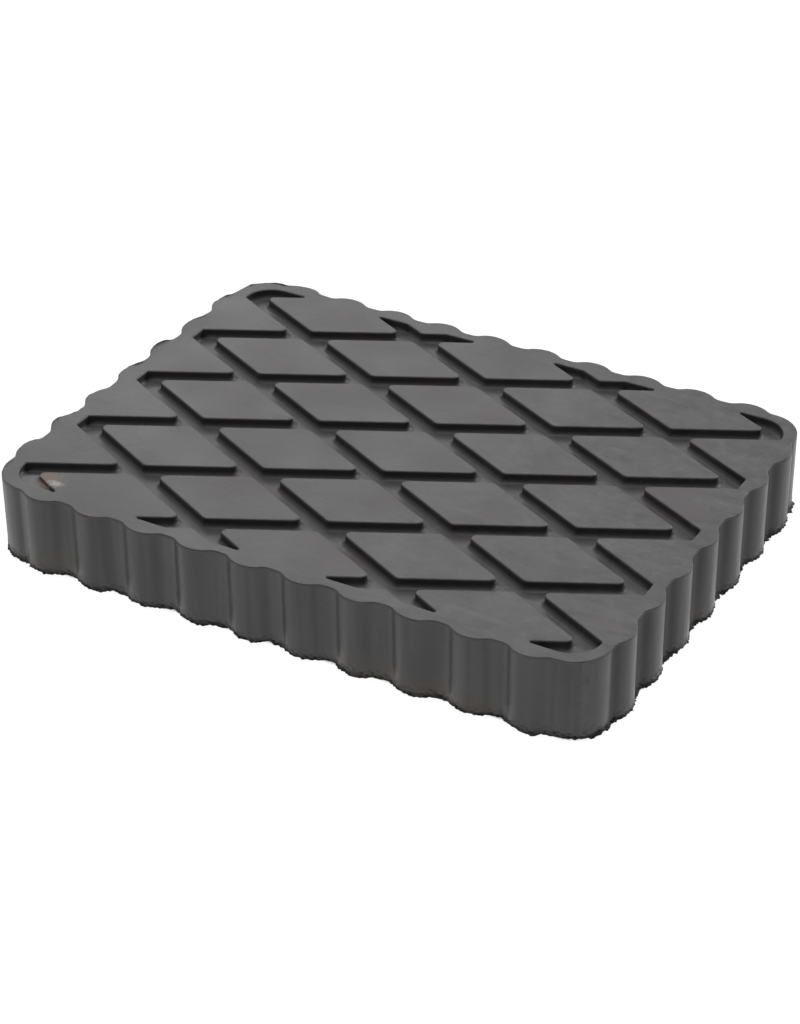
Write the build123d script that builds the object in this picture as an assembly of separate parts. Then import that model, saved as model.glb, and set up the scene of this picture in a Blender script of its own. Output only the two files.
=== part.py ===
from build123d import *
import os
from math import hypot

# Self-adhesive rubber traction pad, in millimetres.
# Frame: +X along the long side, +Y along the short side, +Z up.
# Origin: centre of the footprint, on the surface that the pad stands on.

# Rubber moulding: block and scalloped edge
pad_length = 160.0          # over the lobes
pad_width = 120.0           # over the lobes
pad_thickness = 20.0
lobe_height = 2.0           # how far a lobe stands out of the plain edge
lobe_radius = 7.0
lobe_pitch = 14.0
lobes_on_long_side = 10
lobes_on_short_side = 7
corner_radius = 8.5         # of the plain edge
valley_round = 3.5          # where a lobe runs into the plain edge
top_edge_round = 0.3

# Tread: raised diamonds in a shallow recess inside the rim, all level with the rim
recess_length = 149.4
recess_width = 110.0
recess_corner_radius = 7.0
tread_depth = 2.4
diamond_pitch_long = 50.0   # between diamonds of one row, along X
diamond_pitch_short = 25.0  # between diamonds of one column, along Y
groove_width = 3.9          # square to the groove
diamond_corner_radius = 1.5
tread_shift_x = 0.35        # recess and diamonds sit slightly off the block's centre, as moulded

# Self-adhesive backing, in a shallow pocket under the block
pocket_length = 148.0
pocket_width = 108.0
pocket_depth = 0.7
tape_length = 145.0
tape_width = 105.0
tape_corner_radius = 5.0
foam_thickness = 0.8
adhesive_thickness = 0.1
liner_overlap = 1.0         # the liner is this much larger than the tape, all round
liner_thickness = 0.15
liner_split_gap = 0.4       # between the two halves of the liner

# Worked out from the dimensions above
edge_length = pad_length - 2 * lobe_height
edge_width = pad_width - 2 * lobe_height
lower_adhesive_z = liner_thickness
foam_z = lower_adhesive_z + adhesive_thickness
upper_adhesive_z = foam_z + foam_thickness
pocket_roof_z = upper_adhesive_z + adhesive_thickness
block_z = pocket_roof_z - pocket_depth
top_z = block_z + pad_thickness


def evenly_spaced(count, pitch):
    """Places of `count` things, `pitch` apart, centred on zero."""
    return [(i - (count - 1) / 2) * pitch for i in range(count)]


def lobe_centres():
    """Centres of the lobe circles, which lie inside the plain edge."""
    inset = lobe_radius - lobe_height
    x = edge_length / 2 - inset
    y = edge_width / 2 - inset
    centres = []
    for along in evenly_spaced(lobes_on_long_side, lobe_pitch):
        centres += [(along, y), (along, -y)]
    for along in evenly_spaced(lobes_on_short_side, lobe_pitch):
        centres += [(x, along), (-x, along)]
    return centres


def block_outline():
    """Rounded rectangle with a row of round lobes on each side, softened where they meet."""
    outline = RectangleRounded(edge_length, edge_width, corner_radius)
    for x, y in lobe_centres():
        outline += Pos(x, y) * Circle(lobe_radius)
    outline = outline.clean()
    half_chord = (lobe_radius**2 - (lobe_radius - lobe_height) ** 2) ** 0.5
    roots = []
    for vertex in outline.vertices():
        on_long_side = abs(abs(vertex.Y) - edge_width / 2) < 0.01
        on_short_side = abs(abs(vertex.X) - edge_length / 2) < 0.01
        along = vertex.X if on_long_side else vertex.Y
        count = lobes_on_long_side if on_long_side else lobes_on_short_side
        for centre in evenly_spaced(count, lobe_pitch):
            at_root = abs(abs(along - centre) - half_chord) < 0.01
            if at_root and (on_long_side or on_short_side):
                roots.append(vertex)
    return fillet(roots, valley_round)


def diamond_centres():
    """Two interleaved grids of centres, enough of them to run past the recess on every side."""
    step_x = diamond_pitch_long / 2
    step_y = diamond_pitch_short / 2
    columns = int(recess_length / 2 / step_x) + 2
    rows = int(recess_width / 2 / step_y) + 2
    centres = []
    for column in range(-columns, columns + 1):
        for row in range(-rows, rows + 1):
            if (column + row) % 2 == 0:
                centres.append((column * step_x, row * step_y))
    return centres


def diamond():
    """One diamond: the grid's cell, less half a groove on each of its four sides."""
    half_x = diamond_pitch_long / 2
    half_y = diamond_pitch_short / 2
    width_between_sides = 2 * half_x * half_y / hypot(half_x, half_y)
    share = 1 - groove_width / width_between_sides
    x = half_x * share
    y = half_y * share
    shape = Polygon((x, 0), (0, y), (-x, 0), (0, -y), align=None)
    return fillet(shape.vertices(), diamond_corner_radius)


def groove_floor():
    """The recess inside the rim, less the diamonds that stand in it."""
    recess = RectangleRounded(recess_length, recess_width, recess_corner_radius)
    shape = diamond()
    grooves = recess - [Pos(x, y) * shape for x, y in diamond_centres()]
    return Pos(tread_shift_x, 0) * grooves


def plate(outline, bottom, thickness):
    """A flat layer of the given outline."""
    return extrude(Pos(0, 0, bottom) * outline, amount=thickness, dir=(0, 0, 1))


def tread_pad():
    block = plate(block_outline(), block_z, pad_thickness)
    block = fillet(block.edges().group_by(Axis.Z)[-1], top_edge_round)
    block -= plate(groove_floor(), top_z - tread_depth, tread_depth + 1)
    pocket_corner = tape_corner_radius + (pocket_length - tape_length) / 2
    pocket = RectangleRounded(pocket_length, pocket_width, pocket_corner)
    return block - plate(pocket, block_z - 1, pocket_depth + 1)


def tape_layer(bottom, thickness):
    return plate(RectangleRounded(tape_length, tape_width, tape_corner_radius), bottom, thickness)


def release_liner(side):
    """One half of the liner; side is -1 for the left half and +1 for the right."""
    length = tape_length + 2 * liner_overlap
    width = tape_width + 2 * liner_overlap
    whole = RectangleRounded(length, width, tape_corner_radius + liner_overlap)
    kept = Pos(side * (length + liner_split_gap) / 2, 0) * Rectangle(length, width)
    return plate(whole & kept, 0, liner_thickness)


def write(node, shape):
    shape.label = node
    export_step(shape, f"parts/{node}.step")


os.makedirs("parts", exist_ok=True)
write("tread_pad", tread_pad())
write("upper_adhesive", tape_layer(upper_adhesive_z, adhesive_thickness))
write("foam_carrier", tape_layer(foam_z, foam_thickness))
write("lower_adhesive", tape_layer(lower_adhesive_z, adhesive_thickness))
write("release_liner_left", release_liner(-1))
write("release_liner_right", release_liner(+1))
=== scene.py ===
from math import atan2, ceil, cos, degrees, hypot, pi, radians, sin, sqrt, tan

import bpy
import numpy as np
from mathutils import Euler, Matrix, Vector, noise
from mathutils.geometry import delaunay_2d_cdt


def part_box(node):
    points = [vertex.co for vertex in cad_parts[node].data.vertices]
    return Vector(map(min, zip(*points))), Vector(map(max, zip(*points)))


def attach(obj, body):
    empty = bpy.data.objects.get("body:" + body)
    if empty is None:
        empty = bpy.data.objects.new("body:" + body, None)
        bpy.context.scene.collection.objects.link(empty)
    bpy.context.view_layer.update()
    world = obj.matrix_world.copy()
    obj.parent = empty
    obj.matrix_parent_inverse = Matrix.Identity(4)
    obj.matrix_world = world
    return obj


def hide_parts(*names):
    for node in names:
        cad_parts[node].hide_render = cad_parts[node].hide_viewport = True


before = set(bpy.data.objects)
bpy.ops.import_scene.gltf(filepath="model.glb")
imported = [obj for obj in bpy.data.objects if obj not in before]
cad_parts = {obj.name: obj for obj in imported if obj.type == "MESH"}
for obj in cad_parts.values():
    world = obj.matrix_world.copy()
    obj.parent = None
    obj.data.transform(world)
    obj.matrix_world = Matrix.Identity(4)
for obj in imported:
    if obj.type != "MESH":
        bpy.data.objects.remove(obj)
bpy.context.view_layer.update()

# Sizes are in millimetres unless a name says otherwise; MM turns them into the frame's metres.
MM = 0.001

# The rubber block, from the frame
block_low, block_high = (np.array(corner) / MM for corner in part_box("tread_pad"))
base_z = block_low[2]
top_z = block_high[2]
pad_length = block_high[0] - block_low[0]
pad_width = block_high[1] - block_low[1]

# Scalloped edge
lobe_height = 2.0
lobe_radius = 7.0
lobe_pitch = 14.0
lobes_on_long_side = 10
lobes_on_short_side = 7
corner_radius = 8.5
valley_round = 3.5
top_edge_round = 0.3
burr_reach = 0.02           # share of the top edge's round over which the burr starts
flash_reach = 0.8           # height above the underside that the mould flash grows from
grain_depth = 0.45          # of the torn surface near the foot
grain_size = 0.8
grain_reach = 3.5           # height above the underside that the grain fades out at
underside_inset = 0.8
half_length = pad_length / 2 - lobe_height
half_width = pad_width / 2 - lobe_height

# Tread
recess_length = 149.4
recess_width = 110.0
recess_corner_radius = 7.0
tread_depth = 2.4
diamond_pitch_long = 50.0
diamond_pitch_short = 25.0
groove_width = 3.9
tread_shift_x = 0.35
tread_edge_round = 0.45     # along the top of every groove wall
tread_foot_round = 1.2      # along the bottom of every groove wall, where there is room
convex_corner_round = 1.5   # upright edges of the diamonds
concave_corner_round = 0.25
foot_share = 0.85           # of the room for the foot's round that it takes up

# Dried glue in the -X, -Y corner of the tread
glue_centre = (-68.0, -52.3)
glue_half_sizes = (5.5, 3.6)
glue_fill = 0.6             # share of the groove's depth that it fills

# Pocket for the tape, under the block
pocket_length = 148.0
pocket_width = 108.0
pocket_depth = 0.7
pocket_corner_radius = 6.5

# Fineness of the mesh
outline_step = 0.3
corner_step = 0.12
groove_step = 1.5
surface_step = 3.0
row_spacing = 0.87          # of a triangular grid, for a step of 1
least_corner = radians(20)  # a smaller turn of a loop isn't a corner


# ---------------------------------------------------------------- outlines

def evenly_spaced(count, pitch):
    return [(i - (count - 1) / 2) * pitch for i in range(count)]


def arc(centre, radius, start, end, step=outline_step):
    """Points along an arc between two angles in degrees, without its last point."""
    count = max(3, ceil(abs(radians(end - start)) * radius / step))
    angles = np.radians(np.linspace(start, end, count, endpoint=False))
    return [(centre[0] + radius * cos(a), centre[1] + radius * sin(a)) for a in angles]


def densify(loop, step):
    """The closed loop with points added, so that no stretch is longer than step."""
    points = []
    for start, end in zip(loop, np.roll(loop, -1, axis=0)):
        count = max(1, ceil(hypot(*(end - start)) / step))
        points += [start + (end - start) * i / count for i in range(count)]
    return np.array(points)


def rounded_rectangle(length, width, radius, step=outline_step):
    """Counter-clockwise, with only its corner arcs' points."""
    x = length / 2 - radius
    y = width / 2 - radius
    points = []
    for turn, corner in enumerate([(x, -y), (x, y), (-x, y), (-x, -y)]):
        start = turn * 90 - 90
        points += arc(corner, radius, start, start + 90, step)
        end = radians(start + 90)
        points.append((corner[0] + radius * cos(end), corner[1] + radius * sin(end)))
    return np.array(points)


def lobed_side(half_along, half_across, count):
    """One side with its lobes, drawn as if it faced -Y, and the corner that follows it."""
    inset = lobe_radius - lobe_height
    reach = sqrt((lobe_radius + valley_round) ** 2 - (inset + valley_round) ** 2)
    lean = degrees(atan2(inset + valley_round, reach))
    points = []
    for along in evenly_spaced(count, lobe_pitch):
        valley_y = -half_across - valley_round
        points += arc((along - reach, valley_y), valley_round, 90, lean)
        points += arc((along, inset - half_across), lobe_radius, 180 + lean, 360 - lean)
        points += arc((along + reach, valley_y), valley_round, 180 - lean, 90)
        points.append((along + reach, -half_across))
    corner = (half_along - corner_radius, corner_radius - half_across)
    return points + arc(corner, corner_radius, -90, 0)


def block_outline():
    """The scalloped outline, counter-clockwise."""
    long_side = (half_length, half_width, lobes_on_long_side)
    short_side = (half_width, half_length, lobes_on_short_side)
    points = []
    for quarter, side in enumerate([long_side, short_side, long_side, short_side]):
        turned = Matrix.Rotation(quarter * radians(90), 2)
        points += [tuple(turned @ Vector(p)) for p in lobed_side(*side)]
    return densify(np.array(points), outline_step)


def diamond_half_sizes():
    half_x = diamond_pitch_long / 2
    half_y = diamond_pitch_short / 2
    between_sides = 2 * half_x * half_y / hypot(half_x, half_y)
    share = 1 - groove_width / between_sides
    return half_x * share, half_y * share


def diamonds():
    """Outlines of the diamonds on two interleaved grids, past the recess on every side."""
    step_x = diamond_pitch_long / 2
    step_y = diamond_pitch_short / 2
    columns = int(recess_length / 2 / step_x) + 2
    rows = int(recess_width / 2 / step_y) + 2
    half_x, half_y = diamond_half_sizes()
    outlines = []
    for column in range(-columns, columns + 1):
        for row in range(-rows, rows + 1):
            if (column + row) % 2 == 0:
                x = column * step_x
                y = row * step_y
                outlines.append([(x + half_x, y), (x, y + half_y), (x - half_x, y), (x, y - half_y)])
    return outlines


def counter_clockwise(loop):
    x, y = np.array(loop).T
    return (x * np.roll(y, -1) - y * np.roll(x, -1)).sum() > 0


def overlay(outlines, loose_points=()):
    """Triangles of a set of outlines laid over one another, with the outlines that hold each one."""
    points = [Vector(p) for outline in outlines for p in outline]
    starts = np.cumsum([0] + [len(outline) for outline in outlines])
    faces = [list(range(a, b)) for a, b in zip(starts[:-1], starts[1:])]
    faces = [face if counter_clockwise(outline) else face[::-1] for face, outline in zip(faces, outlines)]
    points += [Vector(p) for p in loose_points]
    found, _, triangles, sources, _, owners = delaunay_2d_cdt(points, [], faces, 1, 1e-6)
    upright = []
    for a, b, c in triangles:
        turn = (found[b] - found[a]).cross(found[c] - found[a])
        upright.append((a, b, c) if turn > 0 else (a, c, b))
    return found, upright, sources, owners


def groove_walls():
    """The loops that bound the grooves, each with the rubber on its left."""
    recess = rounded_rectangle(recess_length, recess_width, recess_corner_radius)
    found, triangles, _, owners = overlay([recess] + diamonds())
    edges = set()
    for (a, b, c), held_by in zip(triangles, owners):
        if list(held_by) == [0]:
            edges |= {(a, b), (b, c), (c, a)}
    onward = {b: a for a, b in edges if (b, a) not in edges}
    loops = []
    while onward:
        start, at = onward.popitem()
        loop = [found[start]]
        while at != start:
            loop.append(found[at])
            at = onward.pop(at)
        loops.append(np.array([tuple(p) for p in loop]))
    return [densify(round_corners(loop), groove_step) + (tread_shift_x, 0) for loop in loops]


def round_corners(loop):
    """Rounds each corner of a loop that has its rubber on the left."""
    points = []
    for before, corner, after in zip(np.roll(loop, 1, axis=0), loop, np.roll(loop, -1, axis=0)):
        way_in = (corner - before) / hypot(*(corner - before))
        way_out = (after - corner) / hypot(*(after - corner))
        turn = atan2(way_in[0] * way_out[1] - way_in[1] * way_out[0], way_in @ way_out)
        if abs(turn) < least_corner:
            points.append(corner)
            continue
        radius = convex_corner_round if turn > 0 else concave_corner_round
        side = 1 if turn > 0 else -1
        start = corner - way_in * radius * tan(abs(turn) / 2)
        centre = start + side * radius * np.array([-way_in[1], way_in[0]])
        first = degrees(atan2(*(start - centre)[::-1]))
        points += arc(centre, radius, first, first + degrees(turn), corner_step)
        last = radians(first) + turn
        points.append(centre + radius * np.array([cos(last), sin(last)]))
    return np.array(points)


def outward_step(loop):
    """For each point, the move that shifts the loop 1 outwards from the rubber on its left."""
    forward = np.roll(loop, -1, axis=0) - loop
    forward /= np.hypot(*forward.T)[:, None]
    outward = np.column_stack([forward[:, 1], -forward[:, 0]])
    before = np.roll(outward, 1, axis=0)
    spread = 1 + (outward * before).sum(axis=1, keepdims=True)
    return (outward + before) / spread


def offset(loop, distance):
    """The loop moved outwards by one distance, or by one for each point; inwards if negative."""
    return loop + np.reshape(distance, (-1, 1)) * outward_step(loop)


def foot_rounds(loop, walls):
    """The round at the foot of each point of a groove wall: smaller where the groove is narrow.

    A circle that touches the wall at the point reaches no other wall while its radius stays
    under gap ** 2 / (2 * ahead), for every wall point that lies ahead of it.
    """
    way = outward_step(loop)
    way /= np.hypot(*way.T)[:, None]
    between = walls[None] - loop[:, None]
    ahead = (between * way[:, None]).sum(axis=2)
    gap = np.hypot(between[..., 0], between[..., 1])
    room = np.where(ahead > 0.02 * gap + 1e-6, gap ** 2 / (2 * np.maximum(ahead, 1e-6)), np.inf)
    return np.minimum(tread_foot_round, foot_share * room.min(axis=1))


# ---------------------------------------------------------------- skin

class Skin:
    """A closed surface, put together from rings of points."""

    def __init__(self):
        self.points = []
        self.faces = []

    def ring(self, loop, z):
        """Adds a loop of points; z is one height, or one for each point. Gives their numbers."""
        start = len(self.points)
        heights = np.broadcast_to(z, len(loop))
        self.points += [(x, y, h) for (x, y), h in zip(loop, heights)]
        return list(range(start, len(self.points)))

    def band(self, upper, lower):
        """Joins two rings of the same count. The rubber is on their left."""
        for i, after in enumerate(upper[1:] + upper[:1]):
            j = (i + 1) % len(lower)
            self.faces.append((upper[i], lower[i], lower[j], after))

    def cap(self, rings, up, z=None):
        """Fills between rings: what an odd number of them hold. With z, adds points inside."""
        outlines = [[self.points[i][:2] for i in ring] for ring in rings]
        numbers = [i for ring in rings for i in ring]
        extra = self.inner_points(outlines) if z is not None else []
        found, triangles, sources, owners = overlay(outlines, extra)
        number_of = {}
        for place, source in enumerate(sources):
            known = [numbers[s] for s in source if s < len(numbers)]
            if known:
                number_of[place] = known[0]
        for triangle, held_by in zip(triangles, owners):
            if len(held_by) % 2 == 0:
                continue
            for place in triangle:
                if place not in number_of:
                    number_of[place] = len(self.points)
                    self.points.append((*found[place], z))
            corners = tuple(number_of[place] for place in triangle)
            self.faces.append(corners if up else corners[::-1])

    def inner_points(self, outlines):
        """A triangular grid of points that keep clear of the outlines."""
        walls = np.array([p for outline in outlines for p in outline])
        grid = []
        rows = np.arange(walls[:, 1].min(), walls[:, 1].max(), surface_step * row_spacing)
        for row, y in enumerate(rows):
            start = walls[:, 0].min() + (row % 2) * surface_step / 2
            for x in np.arange(start, walls[:, 0].max(), surface_step):
                if np.hypot(walls[:, 0] - x, walls[:, 1] - y).min() > surface_step / 2:
                    grid.append((x, y))
        return grid

    def build(self, name):
        """Makes the object, with flat areas kept flat where they meet a rounded edge."""
        points = self.points
        mesh = bpy.data.meshes.new(name)
        mesh.from_pydata(points * MM, [], self.faces)
        mesh.validate()
        normals = np.zeros_like(points)
        for face in self.faces:
            corner, one, *_, other = (points[i] for i in face)
            square = np.cross(one - corner, other - corner)
            for i in face:
                normals[i] += square
        normals /= np.linalg.norm(normals, axis=1, keepdims=True)
        mesh.shade_smooth()
        mesh.normals_split_custom_set_from_vertices(normals)
        obj = bpy.data.objects.new(name, mesh)
        bpy.context.scene.collection.objects.link(obj)
        return obj


def quarter_round(steps):
    """(distance outwards, drop) down a quarter circle of radius 1, from the flat above to the wall."""
    angles = np.radians(np.linspace(0, 90, steps + 1))
    return [(sin(a) - 1, 1 - cos(a)) for a in angles]


# ---------------------------------------------------------------- rubber block

def wavy(x, y, size, seed):
    """Smooth noise from about -1 to 1 over the plan, with features of the given size."""
    return noise.noise(Vector((x / size, y / size, seed * 7.3)))


def falling(height, reach):
    """1 at the foot of the block, easing to 0 at the given height above it."""
    t = min(max(1 - height / reach, 0), 1)
    return t * t * (3 - 2 * t)


def flash(x, y):
    """How far the torn mould flash stands out along the bottom edge, and how far it hangs.

    The trimming knife ran straight along each side, so it left more in the valleys.
    """
    valley = 1 - min(max(abs(x) - half_length, abs(y) - half_width, 0) / lobe_height, 1)
    right = min(max((x - half_length) / 2 + 1, 0), 1)
    tears = wavy(x, y, 1.5, 1) + 0.7 * wavy(x, y, 0.6, 2)
    patches = 0.6 + 0.8 * wavy(x, y, 11, 3)
    out = max(0.0, 0.1 + 0.5 * tears * patches) * (0.6 + 0.9 * right)
    out += right * (0.7 * valley - 0.3)
    hang = 0.5 * wavy(x, y, 3.2, 4) + 0.3 * wavy(x, y, 0.9, 5) * (0.6 + right)
    return out, min(hang, 0.4)


def burr(x, y):
    """Height of the lip that the mould left along the top edge, mostly at the left and the back."""
    left = min(max((-x - 50) / 25, 0.15), 1)
    return max(0.0, 0.3 + 0.8 * wavy(x, y, 6, 6) + 0.2 * wavy(x, y, 1.4, 7)) * left


def flank_heights():
    """Heights of the rings above the underside, from the top down: close together near the foot."""
    plain = [17.5, 15, 12.5, 10, 8, 6]
    grainy = [4.8, 4.2, 3.7, 3.2, 2.8, 2.4, 2.0, 1.7, 1.4, 1.1, 0.85, 0.6, 0.4, 0.2, 0]
    return plain + grainy


def flank_rings(skin, outline):
    """The rings of the scalloped flank, from the flat top to the underside."""
    outward = outward_step(outline)
    flash_out, flash_hang = np.array([flash(*p) for p in outline]).T
    lip = np.array([burr(*p) for p in outline])
    rings = []
    for out, drop in quarter_round(4):
        raised = lip * sin(pi * min(1, drop + burr_reach))
        rings.append(skin.ring(offset(outline, out * top_edge_round), top_z - drop * top_edge_round + raised))
    for height in flank_heights():
        torn = np.array([wavy(*p, grain_size, 10 + height) for p in outline])
        grain = torn * grain_depth * falling(height, grain_reach)
        out = grain + flash_out * falling(height, flash_reach)
        heights = base_z + height - flash_hang * falling(height, flash_reach)
        rings.append(skin.ring(outline + outward * out[:, None], heights))
    rings.append(skin.ring(offset(outline, -underside_inset), base_z))
    return rings


def filled_with_glue(points):
    """The points of the block, with the groove end in the -X, -Y corner made shallow by dried glue."""
    away = np.hypot(*((points[:, :2] - glue_centre) / glue_half_sizes).T)
    share = glue_fill * np.clip(1.6 - away, 0, 1)
    in_groove = (points[:, 2] > top_z - tread_depth - 0.01) & (np.abs(points[:, 0]) < recess_length / 2)
    points[in_groove, 2] += share[in_groove] * (top_z - points[in_groove, 2])
    return points


def block_skin():
    skin = Skin()
    rings = flank_rings(skin, block_outline())
    for upper, lower in zip(rings, rings[1:]):
        skin.band(upper, lower)

    pocket = rounded_rectangle(pocket_length, pocket_width, pocket_corner_radius)
    pocket_mouth = skin.ring(pocket, base_z)
    pocket_roof = skin.ring(pocket, base_z + pocket_depth)
    skin.cap([rings[-1], pocket_mouth], up=False)
    skin.band(pocket_roof[::-1], pocket_mouth[::-1])
    skin.cap([pocket_roof], up=False)

    top_rings = [rings[0]]
    floor_rings = []
    loops = groove_walls()
    for loop in loops:
        steps = []
        for out, drop in quarter_round(4):
            steps.append(skin.ring(offset(loop, out * tread_edge_round), top_z - drop * tread_edge_round))
        foot = foot_rounds(loop, np.concatenate(loops))
        for inwards, rise in reversed(quarter_round(6)):
            steps.append(skin.ring(offset(loop, -inwards * foot), top_z - tread_depth + rise * foot))
        for upper, lower in zip(steps, steps[1:]):
            skin.band(upper, lower)
        top_rings.append(steps[0])
        floor_rings.append(steps[-1])
    skin.cap(top_rings, up=True, z=top_z)
    skin.cap(floor_rings, up=True, z=top_z - tread_depth)
    skin.points = filled_with_glue(np.array(skin.points, float))
    return skin


def rubber_block():
    block = block_skin().build("rubber_block")
    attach(block, "pad")
    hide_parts("tread_pad")
    return block


# ---------------------------------------------------------------- materials

class Nodes:
    """A new material, with short calls for adding and joining its nodes."""

    def __init__(self, name):
        self.material = bpy.data.materials.new(name)
        self.material.use_nodes = True
        self.tree = self.material.node_tree
        self.shader = self.tree.nodes["Principled BSDF"]

    def add(self, kind, values=None, **settings):
        node = self.tree.nodes.new(kind)
        for key, value in settings.items():
            setattr(node, key, value)
        for key, value in (values or {}).items():
            self.put(node.inputs[key], value)
        return node

    def put(self, socket, value):
        if isinstance(value, bpy.types.NodeSocket):
            self.tree.links.new(value, socket)
        else:
            socket.default_value = value

    def place(self):
        return self.add("ShaderNodeTexCoord").outputs["Object"]

    def noise(self, scale, detail=2, roughness=0.5, where=None):
        node = self.add("ShaderNodeTexNoise", {"Scale": scale, "Detail": detail, "Roughness": roughness})
        self.put(node.inputs["Vector"], where or self.place())
        return node.outputs["Fac"]

    def ramp(self, value, low, high, out_low=0.0, out_high=1.0):
        node = self.add("ShaderNodeMapRange", {"From Min": low, "From Max": high})
        self.put(node.inputs["Value"], value)
        self.put(node.inputs["To Min"], out_low)
        self.put(node.inputs["To Max"], out_high)
        return node.outputs["Result"]

    def math(self, operation, one, two=0.0):
        node = self.add("ShaderNodeMath", operation=operation)
        self.put(node.inputs[0], one)
        self.put(node.inputs[1], two)
        return node.outputs[0]

    def mix(self, share, one, two):
        node = self.add("ShaderNodeMix", data_type="RGBA")
        self.put(node.inputs["Factor"], share)
        self.put(node.inputs["A"], one)
        self.put(node.inputs["B"], two)
        return node.outputs["Result"]

    def bump(self, height, distance, strength, under=None):
        node = self.add("ShaderNodeBump", {"Strength": strength, "Distance": distance})
        self.put(node.inputs["Height"], height)
        if under is not None:
            self.put(node.inputs["Normal"], under)
        return node.outputs["Normal"]

    def set(self, **values):
        for key, value in values.items():
            self.put(self.shader.inputs[key.replace("_", " ")], value)


def grey(level, warmth=0.0):
    """A linear grey; warmth tilts it a little towards brown."""
    return (level * (1 + warmth), level, level * (1 - warmth), 1)


def near(n, centre, reach, softness):
    """1 within an ellipsoid, in millimetres, easing to 0 outside it, with a ragged edge."""
    shifted = n.add("ShaderNodeVectorMath", {0: n.place(), 1: Vector(centre) * MM}, operation="SUBTRACT")
    scaled = n.add("ShaderNodeVectorMath", {0: shifted.outputs[0], 1: [1 / (r * MM) for r in reach]},
                   operation="MULTIPLY")
    length = n.add("ShaderNodeVectorMath", {0: scaled.outputs[0]}, operation="LENGTH").outputs["Value"]
    ragged = n.math("ADD", length, n.ramp(n.noise(900, 3), 0.3, 0.7, -softness, softness))
    return n.ramp(ragged, 1 - softness, 1 + softness, 1.0, 0.0)


def stretched(n, turn, lengthwise):
    """Coordinates turned about Z and squeezed along X, which draws noise out into streaks."""
    return n.add("ShaderNodeMapping", {"Vector": n.place(), "Rotation": (0, 0, radians(turn)),
                                       "Scale": (1 / lengthwise, 1, 1)}).outputs[0]


def from_middle(n):
    """Distances from the middle of the pad along X and along Y."""
    aside = n.add("ShaderNodeVectorMath", {0: n.place()}, operation="ABSOLUTE").outputs[0]
    axes = n.add("ShaderNodeSeparateXYZ", {"Vector": aside}).outputs
    return axes["X"], axes["Y"]


def on_flank(n, height):
    """1 on the scalloped flank, 0 on the rim and the tread."""
    x, y = from_middle(n)
    past_x = n.math("SUBTRACT", x, (recess_length / 2 + 1) * MM)
    past_y = n.math("SUBTRACT", y, (recess_width / 2 + 1) * MM)
    outside = n.ramp(n.math("MAXIMUM", past_x, past_y), 0, 0.3 * MM)
    return n.math("MULTIPLY", outside, n.ramp(height, (top_z - 0.8) * MM, (top_z - 0.3) * MM, 1.0, 0.0))


def shaded_valleys(n):
    """1 in the valleys of the two short sides, where shade is painted into the colour, 0 on their lobes and
    elsewhere.
    """
    x, y = from_middle(n)
    low = n.ramp(x, (half_length + 0.3) * MM, (half_length + 1.6) * MM, 1.0, 0.0)
    corner_start = half_width - corner_radius
    straight = n.ramp(y, (corner_start - 1) * MM, corner_start * MM, 1.0, 0.0)
    return n.math("MULTIPLY", low, straight)


def upright_ribs(n):
    """Faint marks that the mould drew down the flank."""
    drawn = n.add("ShaderNodeMapping", {"Vector": n.place(), "Scale": (1, 1, 0.06)}).outputs[0]
    return n.ramp(n.noise(330, 1, 0.5, drawn), 0.36, 0.64)


def scuffed(n, colour, height):
    """Mottling all over, and light and dark scuffs that grow towards the +X end of the tread."""
    along = n.add("ShaderNodeSeparateXYZ", {"Vector": n.place()}).outputs["X"]
    worn = n.ramp(along, -0.02, 0.06, 0.2, 1.0)
    light = n.ramp(n.noise(240, 5, 0.7), 0.46, 0.66)
    colour = n.mix(n.math("MULTIPLY", light, worn), colour, grey(0.078))
    dark = n.ramp(n.noise(190, 5, 0.7, stretched(n, -20, 2)), 0.48, 0.68)
    colour = n.mix(n.math("MULTIPLY", dark, worn), colour, grey(0.036))
    streaks = n.ramp(n.noise(330, 4, 0.6, stretched(n, 35, 6)), 0.55, 0.8, 0.0, 0.9)
    places = n.math("MULTIPLY", worn, n.ramp(n.noise(17, 2), 0.42, 0.56))
    on_top = n.ramp(height, (top_z - 4) * MM, (top_z - 3) * MM)
    return n.mix(n.math("MULTIPLY", streaks, n.math("MULTIPLY", places, on_top)), colour, grey(0.09))


def soiled_and_shaded_foot(n, colour, height):
    """The trimmed foot: earthy smears of dirt above; torn grains near the foot, partly the rubber's grain and
    partly painted shade; and a nearly black painted contact shadow along its bottom edge.
    """
    soiled = n.math("MULTIPLY", n.ramp(height, 3 * MM, 9 * MM, 1.0, 0.0), n.ramp(n.noise(45, 2), 0.5, 0.62))
    colour = n.mix(n.math("MULTIPLY", soiled, 0.6), colour, grey(0.042, 0.18))
    # painted shade: dark torn grains that grow towards the foot
    foot = n.ramp(height, 0.6 * MM, 3.4 * MM, 1.0, 0.0)
    shaded_grains = n.math("MULTIPLY", foot, n.ramp(n.noise(1000, 3, 0.7), 0.42, 0.56))
    colour = n.mix(n.math("MULTIPLY", shaded_grains, 0.85), colour, grey(0.014))
    # painted contact shadow: nearly black along the bottom edge
    edge = n.ramp(height, (base_z + 0.2) * MM, (base_z + 0.8) * MM, 1.0, 0.0)
    return n.mix(n.math("MULTIPLY", edge, n.ramp(n.noise(160, 2), 0.4, 0.6, 0.15, 0.9)), colour, grey(0.008))


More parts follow.
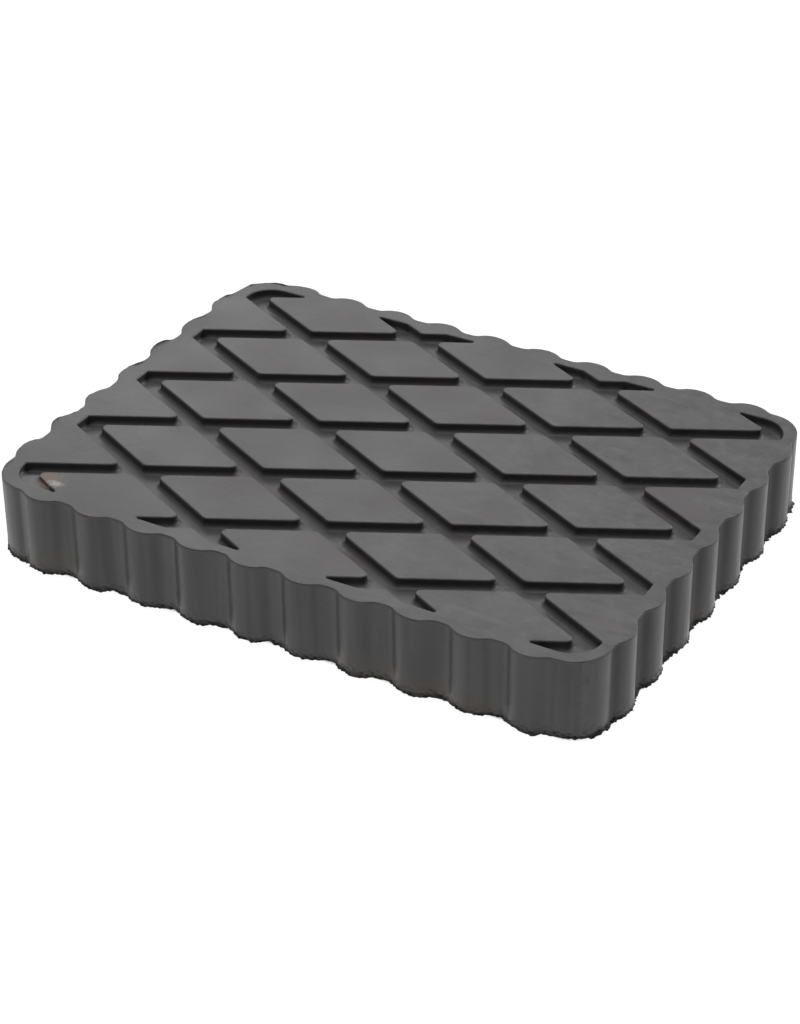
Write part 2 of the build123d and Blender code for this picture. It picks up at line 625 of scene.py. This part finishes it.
def rubber_colour(n, height, flank, ribs, valleys):
    """Black rubber greyed by bloom and dust, with one tan crust of dried glue at the -X, -Y corner, painted
    shade in the short sides' valleys and a painted shadow along the foot.
    """
    colour = n.mix(n.ramp(n.noise(38, 4, 0.6), 0.35, 0.65), grey(0.050), grey(0.060))
    colour = scuffed(n, colour, height)
    colour = n.mix(n.ramp(n.noise(55, 2), 0.56, 0.64, 0.0, 0.8), colour, (0.064, 0.054, 0.055, 1))
    drawn = n.mix(ribs, grey(0.024), grey(0.050))
    colour = n.mix(n.math("MULTIPLY", flank, 0.8), colour, drawn)
    # painted shade: the valleys of the two short sides are darkened
    colour = n.mix(n.math("MULTIPLY", valleys, 0.65), colour, grey(0.012))
    colour = soiled_and_shaded_foot(n, colour, height)
    crust = near(n, (-65.6, -51.2, top_z), (4.0, 3.1, 4), 0.45)
    colour = n.mix(n.math("MULTIPLY", crust, 0.7), colour, (0.13, 0.09, 0.06, 1))
    return n.mix(near(n, (-62.8, -52.2, top_z), (1.5, 1.0, 4), 0.7), colour, (0.28, 0.255, 0.235, 1))


def rubber_material():
    n = Nodes("tread_rubber")
    height = n.add("ShaderNodeSeparateXYZ", {"Vector": n.place()}).outputs["Z"]
    flank = on_flank(n, height)
    ribs = upright_ribs(n)
    # mask of the short sides' valleys: painted shade in the colour, and rougher rubber
    valleys = n.math("MULTIPLY", flank, shaded_valleys(n))
    n.set(Base_Color=rubber_colour(n, height, flank, ribs, valleys))
    smooth = n.math("ADD", n.ramp(flank, 0, 1, 0.52, 0.36), n.ramp(valleys, 0, 1, 0.0, 0.25))
    rough = n.math("ADD", smooth, n.ramp(n.noise(60, 3), 0.3, 0.7, -0.04, 0.06))
    n.set(Roughness=n.math("MAXIMUM", rough, n.ramp(height, 0.8 * MM, 2.5 * MM, 0.8, 0.0)))
    n.set(Specular_IOR_Level=0.5)
    coarse = n.bump(n.noise(420, 3), 0.0002, 0.4)
    fine = n.bump(n.noise(2200, 2), 0.0001, 0.5, coarse)
    n.set(Normal=n.bump(n.math("MULTIPLY", ribs, flank), 0.00012, 0.5, fine))
    return n.material


def liner_material():
    """Kraft paper with a siliconed face: short pale fibres under a faint gloss."""
    n = Nodes("liner_paper")
    fibres = n.ramp(n.noise(900, 4, 0.65, stretched(n, 0, 4)), 0.35, 0.7)
    colour = n.mix(fibres, (0.58, 0.44, 0.27, 1), (0.64, 0.51, 0.33, 1))
    flecks = n.ramp(n.noise(1500, 2), 0.66, 0.74, 0.0, 0.5)
    colour = n.mix(flecks, colour, (0.32, 0.22, 0.12, 1))
    cloudy = n.ramp(n.noise(70, 3), 0.35, 0.65, 0.0, 0.35)
    n.set(Base_Color=n.mix(cloudy, colour, (0.62, 0.47, 0.28, 1)))
    n.set(Roughness=n.ramp(n.noise(120, 3), 0.3, 0.7, 0.3, 0.42))
    n.set(Coat_Weight=0.25, Coat_Roughness=0.25)
    n.set(Normal=n.bump(fibres, 0.00002, 0.25))
    return n.material


def foam_material():
    """Closed-cell foam: fine cells cut open at its edges."""
    n = Nodes("foam")
    cells = n.add("ShaderNodeTexVoronoi", {"Vector": n.place(), "Scale": 3200}).outputs["Distance"]
    open_cells = n.ramp(cells, 0.1, 0.5)
    n.set(Base_Color=n.mix(open_cells, grey(0.2), grey(0.33)))
    n.set(Roughness=n.ramp(n.noise(150, 3), 0.3, 0.7, 0.8, 0.92))
    n.set(Normal=n.bump(open_cells, 0.0001, 0.6))
    return n.material


def adhesive_material():
    """Tacky acrylic adhesive: glossy, faintly amber, with small trapped bubbles."""
    n = Nodes("adhesive")
    bubbles = n.add("ShaderNodeTexVoronoi", {"Vector": n.place(), "Scale": 700}).outputs["Distance"]
    rings = n.ramp(bubbles, 0.08, 0.2)
    n.set(Base_Color=n.mix(rings, (0.6, 0.58, 0.5, 1), (0.42, 0.39, 0.3, 1)))
    n.set(Roughness=n.ramp(n.noise(90, 4), 0.3, 0.7, 0.12, 0.28))
    n.set(Normal=n.bump(n.noise(260, 3), 0.00008, 0.3, n.bump(rings, 0.00003, 0.3)))
    return n.material


# ---------------------------------------------------------------- stage

floor_half_size_m = 6.0
wall_radius_m = 5.5
panel_distance_m = 2.4


def floor():
    """A plain white floor that glows like a light table; its glow fades out where the pad lies on it, a
    painted contact shadow.
    """
    reach = floor_half_size_m
    corners = [(-reach, -reach, 0), (reach, -reach, 0), (reach, reach, 0), (-reach, reach, 0)]
    mesh = bpy.data.meshes.new("floor")
    mesh.from_pydata(corners, [], [(0, 1, 2, 3)])
    obj = bpy.data.objects.new("floor", mesh)
    bpy.context.scene.collection.objects.link(obj)
    n = Nodes("floor")
    footprint = Vector((half_length, half_width, 0)) * MM
    corner = Vector((corner_radius, corner_radius, 0)) * MM
    aside = n.add("ShaderNodeVectorMath", {0: n.place()}, operation="ABSOLUTE").outputs[0]
    past = n.add("ShaderNodeVectorMath", {0: aside, 1: footprint - corner}, operation="SUBTRACT").outputs[0]
    past = n.add("ShaderNodeVectorMath", {0: past, 1: (0, 0, 0)}, operation="MAXIMUM").outputs[0]
    beyond = n.add("ShaderNodeVectorMath", {0: past}, operation="LENGTH").outputs["Value"]
    n.set(Base_Color=(0.12, 0.12, 0.12, 1), Roughness=0.9, Specular_IOR_Level=0.0)
    # painted contact shadow: the glow fades to dark under the pad's footprint
    glow = n.ramp(beyond, (corner_radius - 1.5) * MM, corner_radius * MM, 0.0, 0.96)
    n.set(Emission_Color=(1, 1, 1, 1), Emission_Strength=glow)
    mesh.materials.append(n.material)


def backdrop():
    """A white wall all round at the edge of the floor. Only the camera sees it: it lights nothing."""
    size = {"radius": wall_radius_m, "depth": 2 * wall_radius_m}
    bpy.ops.mesh.primitive_cylinder_add(vertices=64, end_fill_type="NOTHING", **size)
    obj = bpy.context.object
    obj.name = "backdrop"
    n = Nodes("backdrop")
    n.set(Base_Color=(0, 0, 0, 1), Specular_IOR_Level=0.0)
    n.set(Emission_Color=(1, 1, 1, 1), Emission_Strength=1.0)
    obj.data.materials.append(n.material)
    obj.visible_diffuse = False
    obj.visible_glossy = False
    obj.visible_shadow = False


def soft_light(name, azimuth, elevation, width, height, power):
    """A soft panel that faces the pad from the given direction; azimuth 0 is along -Y."""
    light = bpy.data.lights.new(name, "AREA")
    light.shape = "RECTANGLE"
    light.size = width
    light.size_y = height
    light.energy = power
    obj = bpy.data.objects.new(name, light)
    a = radians(azimuth)
    e = radians(elevation)
    back = Vector((sin(a) * cos(e), -cos(a) * cos(e), sin(e)))
    obj.location = back * panel_distance_m
    obj.rotation_euler = back.to_track_quat("Z", "Y").to_euler()
    bpy.context.scene.collection.objects.link(obj)


def lights():
    """Soft panels overhead, behind and at the left; the side of the camera stays dark."""
    soft_light("overhead", 0, 85, 0.9, 0.9, 19)
    soft_light("key", -150, 62, 0.9, 0.9, 11)
    soft_light("back", 160, 28, 0.9, 0.9, 39)
    soft_light("back_left", -138, 28, 1.6, 0.9, 18.5)
    soft_light("left", -75, 28, 0.9, 0.9, 5)
    soft_light("fill", 20, 30, 0.9, 0.9, 1.5)
    world = bpy.data.worlds.new("studio")
    world.use_nodes = True
    world.node_tree.nodes["Background"].inputs["Strength"].default_value = 0.0
    bpy.context.scene.world = world


def camera():
    """From the front right, looking down at about a third of a right angle."""
    target = Vector((12.66, -23.93, top_z)) * MM
    distance = 605 * MM
    azimuth = radians(30.0)
    elevation = radians(32.2)
    roll = radians(-0.43)
    data = bpy.data.cameras.new("camera")
    data.lens = 94.0
    obj = bpy.data.objects.new("camera", data)
    upright = Euler((radians(90) - elevation, 0, azimuth)).to_matrix()
    turned = upright @ Matrix.Rotation(roll, 3, "Z")
    obj.matrix_world = Matrix.Translation(target + upright.col[2] * distance) @ turned.to_4x4()
    bpy.context.scene.collection.objects.link(obj)
    bpy.context.scene.camera = obj


# ---------------------------------------------------------------- the scene

bpy.context.scene.view_settings.view_transform = "Standard"
camera()
lights()
floor()
backdrop()
rubber_block().data.materials.append(rubber_material())

liner_paper = liner_material()
adhesive = adhesive_material()
tape_materials = {
    "upper_adhesive": adhesive,
    "foam_carrier": foam_material(),
    "lower_adhesive": adhesive,
    "release_liner_left": liner_paper,
    "release_liner_right": liner_paper,
}
for name, material in tape_materials.items():
    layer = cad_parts[name]
    layer.data.materials.clear()
    layer.data.materials.append(material)
